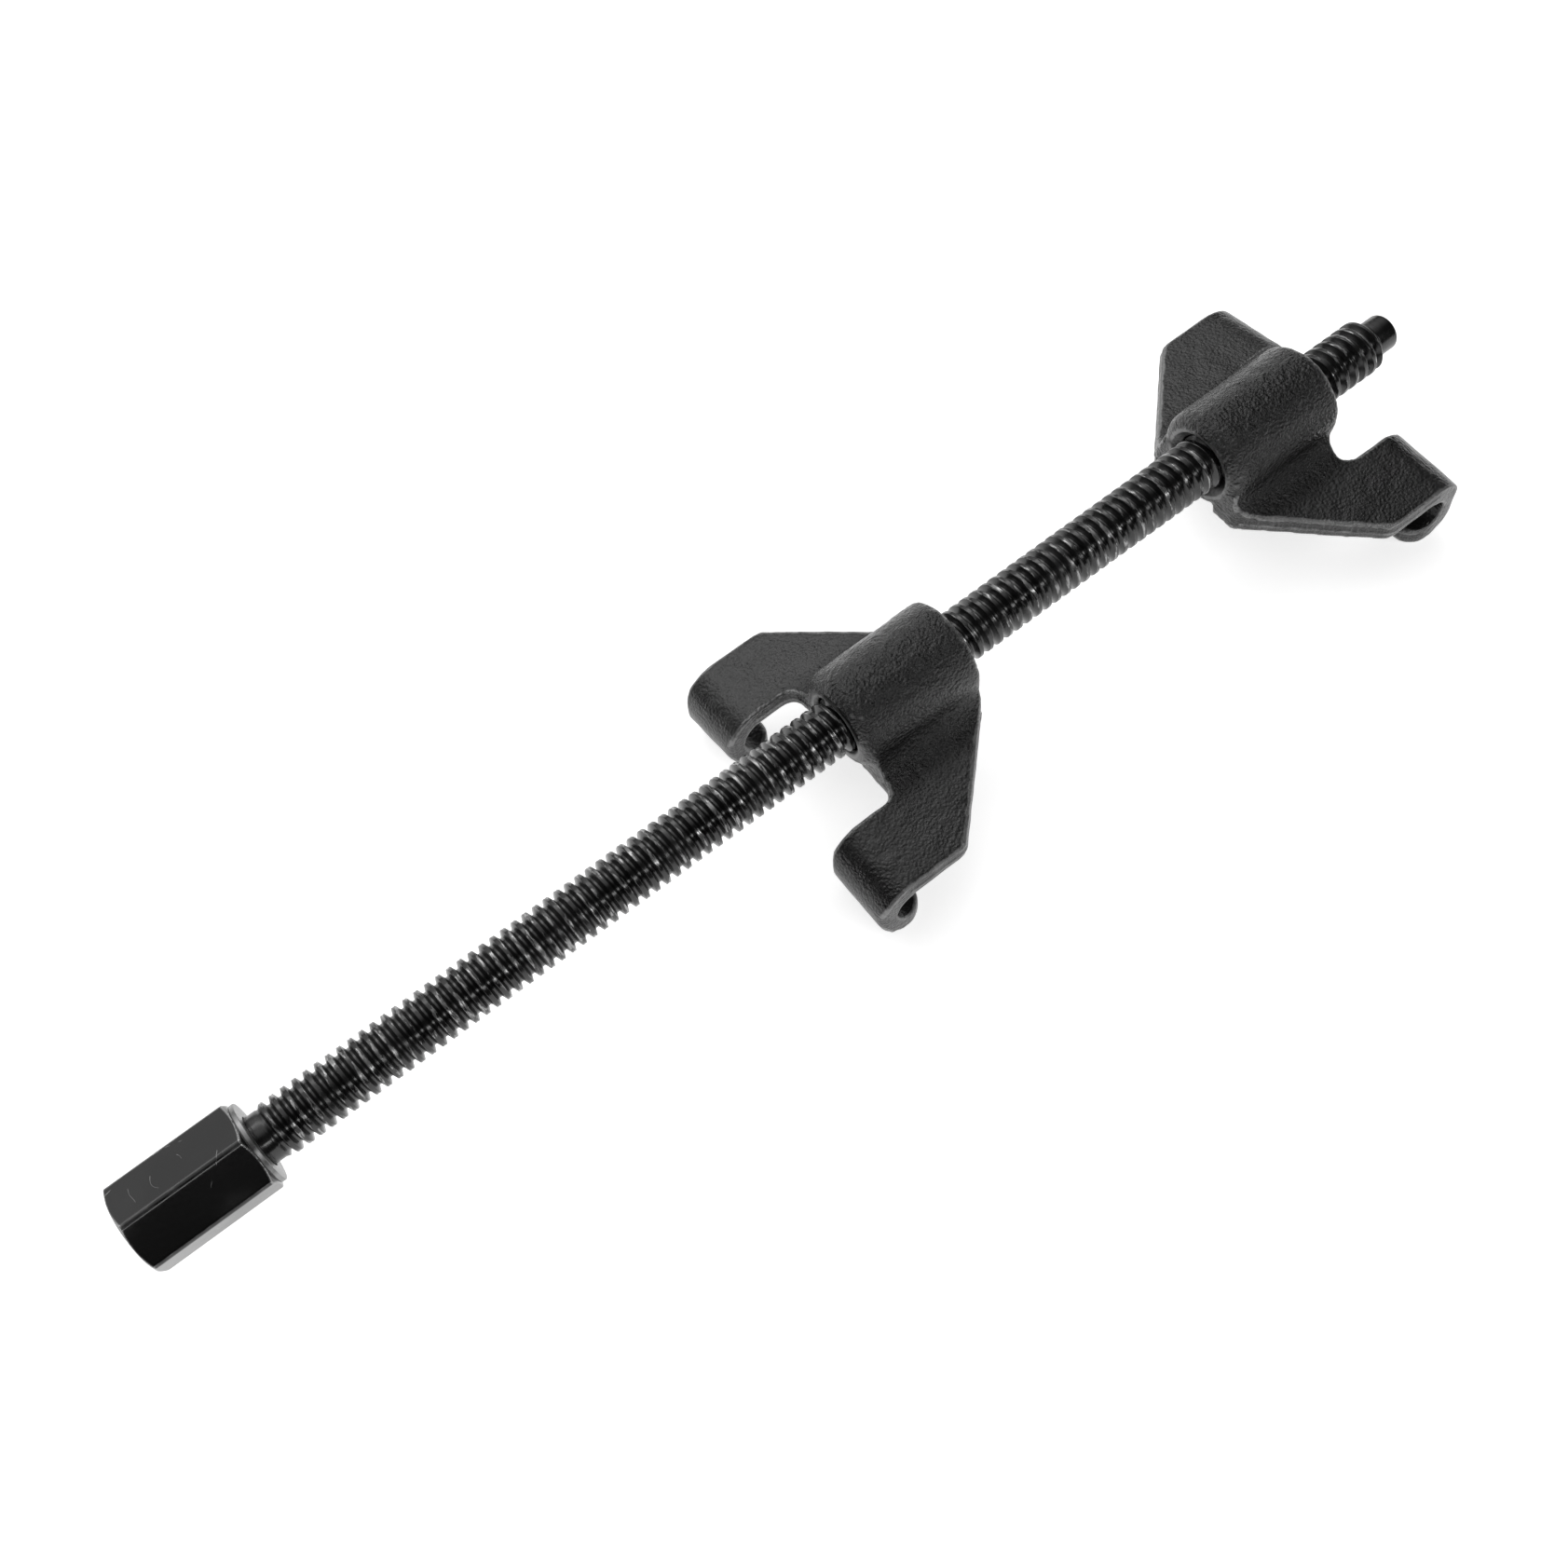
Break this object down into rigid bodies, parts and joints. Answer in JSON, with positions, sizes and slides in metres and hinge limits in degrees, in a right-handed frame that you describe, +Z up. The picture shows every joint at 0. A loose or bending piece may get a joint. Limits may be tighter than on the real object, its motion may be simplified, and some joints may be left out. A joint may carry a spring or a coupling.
{
  "type": "coil spring compressor",
  "caption": "Screw-driven coil spring compressor: long threaded spindle with a drive hex, a sliding jaw and a threaded jaw, each with paired hooks.",
  "frame": {"origin": "centre of the tool's box at the level of the hook lips it lies on", "axes": "+X along the spindle from the drive hex to the free end, +Z up, hooks curling down"},
  "size_m": [0.37, 0.0792, 0.0444],
  "materials": {
    "rolled_thread": "glossy black oiled oxide",
    "hex_black": "smooth glossy black",
    "washer_steel": "dark phosphated steel",
    "forging_black": "satin black over cast grain"
  },
  "bodies": {
    "washer": {"thrust_washer": "washer_steel"},
    "spindle": {"spindle": "rolled_thread", "drive_hex": "hex_black"},
    "free_jaw": {"free_jaw": "forging_black"},
    "threaded_jaw": {"threaded_jaw": "forging_black"}
  },
  "joints": [
    {"name": "spindle_turn", "type": "hinge", "parent": "washer", "child": "spindle", "pos_m": [-0.153, 0, 0.03145], "axis": [1, 0, 0], "range_deg": [-2160, 9360]},
    {"name": "threaded_jaw_travel", "type": "slide", "parent": "washer", "child": "threaded_jaw", "axis": [1, 0, 0], "range_m": [-0.078, 0.018]},
    {"name": "free_jaw_slide", "type": "slide", "parent": "washer", "child": "free_jaw", "axis": [1, 0, 0], "range_m": [-0.161, 0]}
  ],
  "couplings": [
    {"joint": "threaded_jaw_travel", "follows": "spindle_turn", "m_per_rad": -0.00047746}
  ]
}
